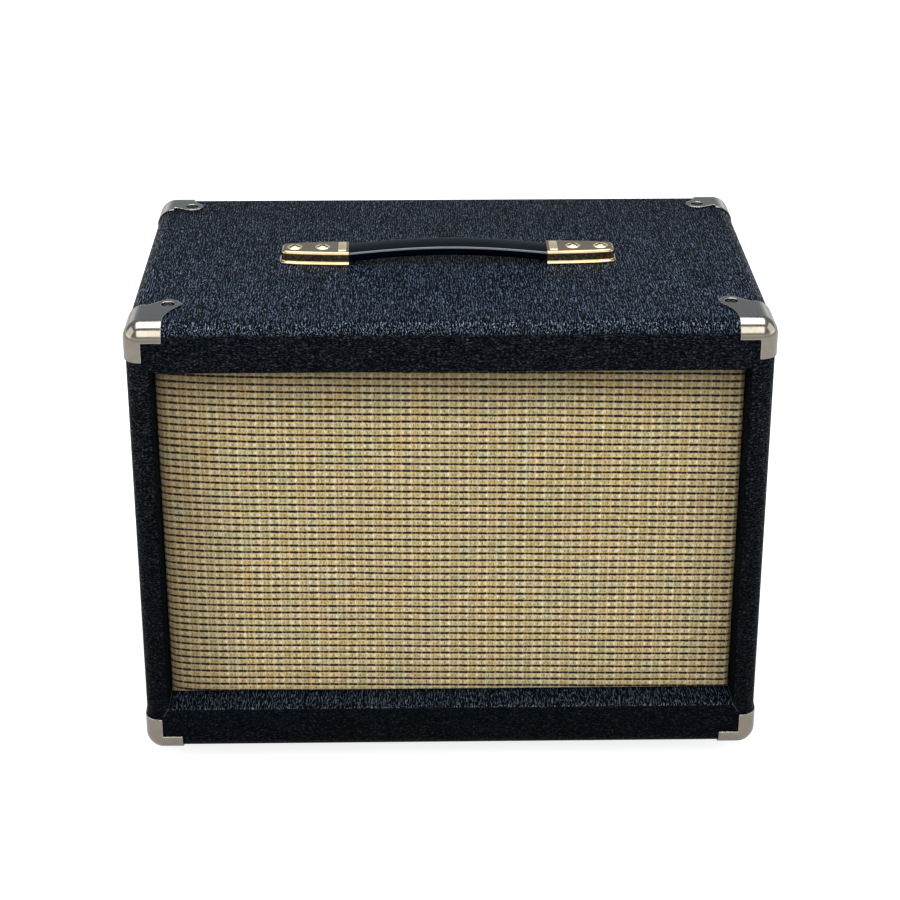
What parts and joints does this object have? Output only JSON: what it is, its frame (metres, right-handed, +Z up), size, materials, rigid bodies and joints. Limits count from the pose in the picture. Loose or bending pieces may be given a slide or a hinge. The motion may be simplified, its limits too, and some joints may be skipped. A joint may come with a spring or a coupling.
{
  "type": "guitar speaker cabinet",
  "caption": "Small guitar speaker cabinet with a sprung cone behind a recessed woven grille, metal corner caps, a strap handle on top and a half-open back.",
  "frame": {"origin": "on the floor, under the middle of the cabinet, level with the bottom of its feet", "axes": "+X to the right as seen from the grille, +Y from the grille to the back, +Z up"},
  "size_m": [0.4656, 0.3026, 0.3702],
  "materials": {
    "vinyl": "pebble-grained vinyl-coated cloth, black with a blue cast, semi-gloss",
    "plywood": "bare birch plywood",
    "black_wood": "matt black paint",
    "cloth": "woven tan grille cloth with broken dark lines",
    "nickel": "polished nickel plate",
    "brass": "polished brass",
    "strap": "moulded black strap, satin",
    "rubber": "black rubber",
    "steel": "zinc-plated steel",
    "basket": "dark grey paint on pressed steel",
    "paper": "pressed dark cone paper",
    "cork": "cork and fibre gasket",
    "spider": "resin-stiffened corrugated cloth",
    "copper": "copper winding on a thin former",
    "ferrite": "sintered ferrite, dark grey",
    "board": "brown laminate tag board",
    "lead": "black cable sheath",
    "plastic": "moulded black plastic"
  },
  "bodies": {
    "cabinet": {"top_board": "plywood", "bottom_board": "plywood", "left_side_board": "plywood", "right_side_board": "plywood", "top_front_rail": "plywood", "bottom_front_rail": "plywood", "baffle_cleat_left": "plywood", "baffle_cleat_right": "plywood", "baffle_cleat_top": "plywood", "baffle_cleat_bottom": "plywood", "back_cleat_left": "plywood", "back_cleat_right": "plywood", "vinyl_covering": "vinyl", "back_panel_upper": "vinyl", "back_panel_lower": "vinyl", "baffle_board": "black_wood", "grille_frame": "black_wood", "grille_cloth": "cloth", "corner_front_top_left": "nickel", "corner_front_top_right": "nickel", "corner_front_bottom_left": "nickel", "corner_front_bottom_right": "nickel", "corner_rear_top_left": "nickel", "corner_rear_top_right": "nickel", "corner_rear_bottom_left": "nickel", "corner_rear_bottom_right": "nickel", "jack_plate": "nickel", "jack_nut": "nickel", "handle_cap_left": "brass", "handle_cap_right": "brass", "handle_screw_left_inner": "brass", "handle_screw_left_outer": "brass", "handle_screw_right_inner": "brass", "handle_screw_right_outer": "brass", "terminal_lug_left": "brass", "terminal_lug_right": "brass", "handle_strap": "strap", "foot_front_left": "rubber", "foot_front_right": "rubber", "foot_rear_left": "rubber", "foot_rear_right": "rubber", "speaker_basket": "basket", "speaker_gasket": "cork", "speaker_surround": "paper", "speaker_spider": "spider", "magnet_top_plate": "steel", "magnet_back_plate": "steel", "speaker_bolt_lower_left": "steel", "speaker_bolt_upper_left": "steel", "speaker_bolt_lower_right": "steel", "speaker_bolt_upper_right": "steel", "cable_clip_rear": "steel", "cable_clip_front": "steel", "magnet_ring": "ferrite", "terminal_board": "board", "speaker_lead": "lead", "jack_socket": "plastic"},
    "moving_cone": {"speaker_cone": "paper", "speaker_dust_cap": "paper", "voice_coil": "copper"}
  },
  "joints": [
    {"name": "cone_travel", "type": "slide", "parent": "cabinet", "child": "moving_cone", "axis": [0, 1, 0], "range_m": [-0.003, 0.003], "stiffness_N_per_m": 6000, "deforming": ["speaker_surround", "speaker_spider"]}
  ]
}
